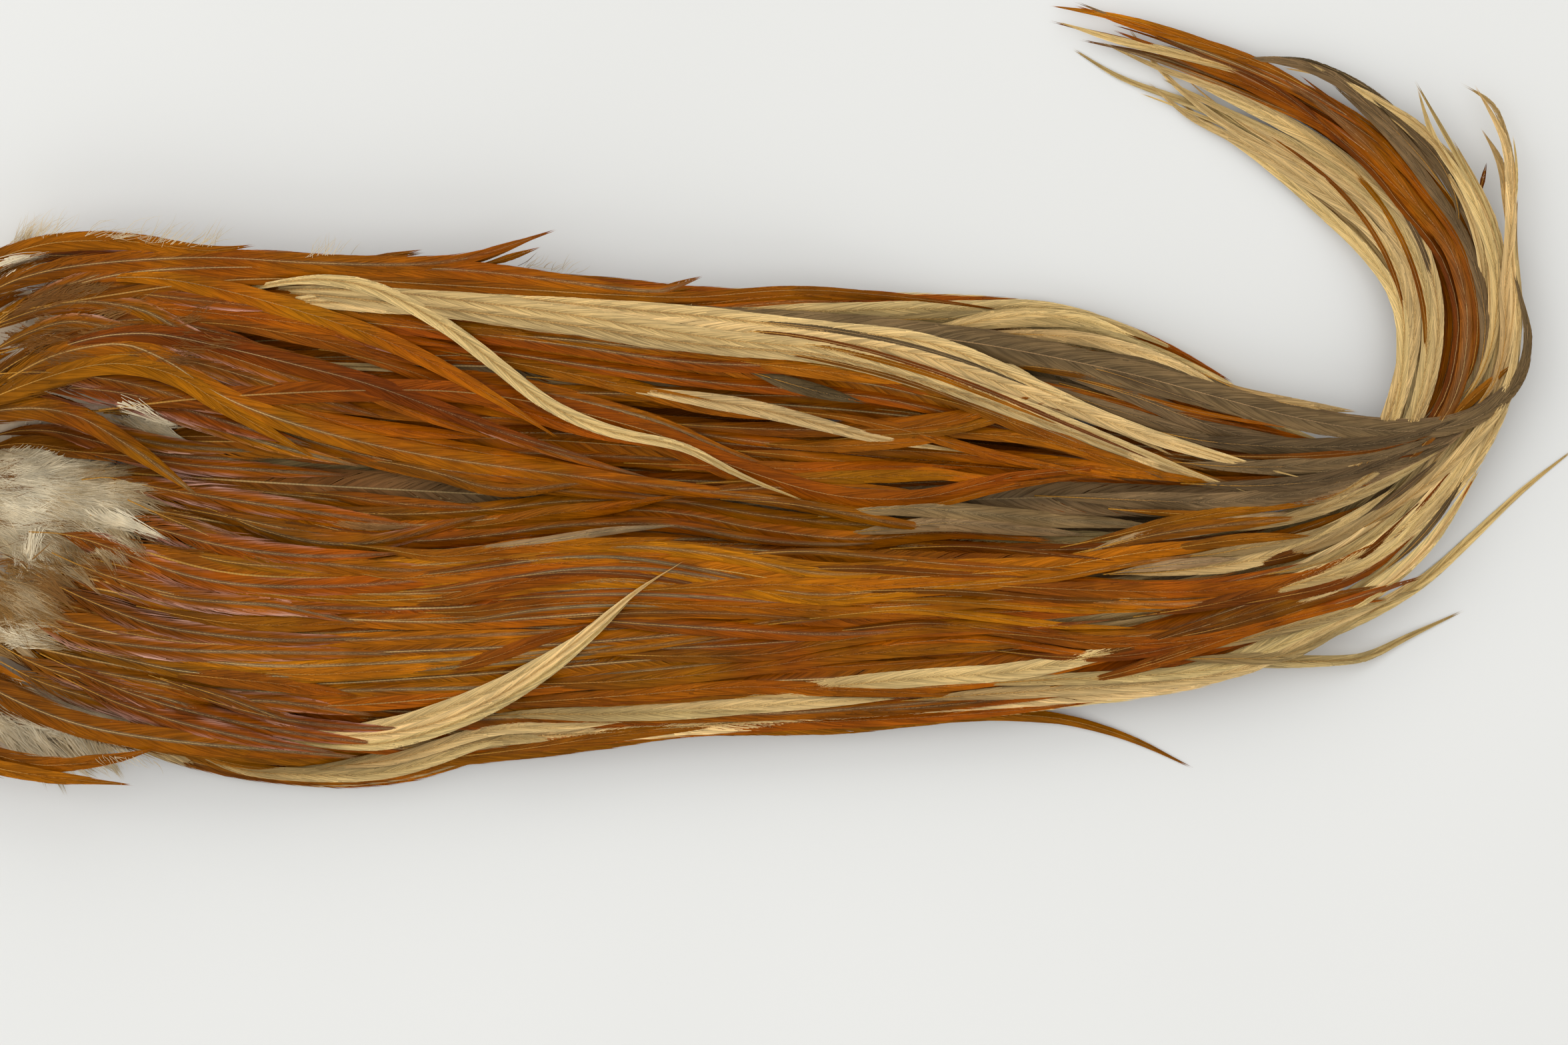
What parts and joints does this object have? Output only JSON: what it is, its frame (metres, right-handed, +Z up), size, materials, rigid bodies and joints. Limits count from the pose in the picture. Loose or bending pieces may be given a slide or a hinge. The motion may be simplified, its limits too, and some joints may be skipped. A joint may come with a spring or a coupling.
{
  "type": "rooster saddle hackle",
  "caption": "Patch of tanned rooster saddle skin with long slender ginger, rust, cream and dun hackle feathers lying flat, their tips swept up and back in a hook.",
  "frame": {"origin": "middle of the skin's flat underside, on the surface the patch lies on", "axes": "+X from the skin towards the feather tips, +Y across the patch towards the side the tips sweep to, +Z up"},
  "size_m": [0.3115, 0.1302, 0.0153],
  "materials": {
    "skin": "dry pale tanned skin, matt, with feather follicles",
    "down": "soft off-white and tan down, matt",
    "ginger": "orange-brown feather, glossy with a fine barb texture",
    "rust": "darker red-brown feather, glossy with pinkish glints",
    "golden": "golden orange feather, glossy",
    "cream": "cream to pale straw feather, satin",
    "dun": "grey-brown feather with a pale quill, satin"
  },
  "bodies": {
    "root": {"skin": "skin", "down_tuft_centre": "down", "down_tuft_lower": "down", "cream_sweep_inner": "cream", "cream_sweep_olive_tip": "cream", "cream_sweep_crossing": "cream", "rust_sweep": "rust", "dun_sweep_ginger_edge": "dun", "golden_sweep_far_tip": "golden", "dun_sweep_outer": "dun", "cream_sweep_branch": "cream", "cream_sweep_mid_tip": "cream", "cream_sweep_outer_tip": "cream", "cream_long_straggler": "cream", "cream_lower_edge": "cream", "cream_lower_straggler": "cream", "golden_lower_straggler": "golden", "cream_lower_long": "cream", "rust_lower_band": "rust", "rust_inner_band": "rust", "cream_upper_edge": "cream", "cream_upper_fold": "cream", "dun_upper_band": "dun", "dun_upper_slant": "dun", "dun_centre_band": "dun", "ginger_centre_low": "ginger", "ginger_upper_run": "ginger", "ginger_lower_run": "ginger", "ginger_lower_mid": "ginger", "golden_short_tip": "golden", "ginger_middle": "ginger", "ginger_upper_middle": "ginger", "golden_s_curve": "golden", "ginger_s_curve": "ginger", "dun_sweep_over": "dun", "cream_upper_long": "cream", "cream_upper_band": "cream", "ginger_crossing": "ginger", "ginger_arched": "ginger", "cream_centre_tip": "cream", "cream_fan_tip": "cream", "shoulder_low_outer": "rust", "shoulder_high_outer": "rust", "shoulder_low_inner": "ginger", "shoulder_high_inner": "ginger", "shoulder_low_middle": "ginger", "shoulder_high_middle": "ginger", "shoulder_centre": "rust", "golden_top_arch": "golden", "ginger_top_edge": "ginger", "ginger_top_stray": "ginger", "golden_upper_slant": "golden", "cream_diagonal": "cream", "rust_slant": "rust", "golden_corner": "golden", "rust_short_crossing": "rust", "golden_short_crossing": "golden", "rust_lower_corner": "rust", "ginger_corner_stray": "ginger", "golden_corner_stray": "golden"}
  },
  "joints": []
}
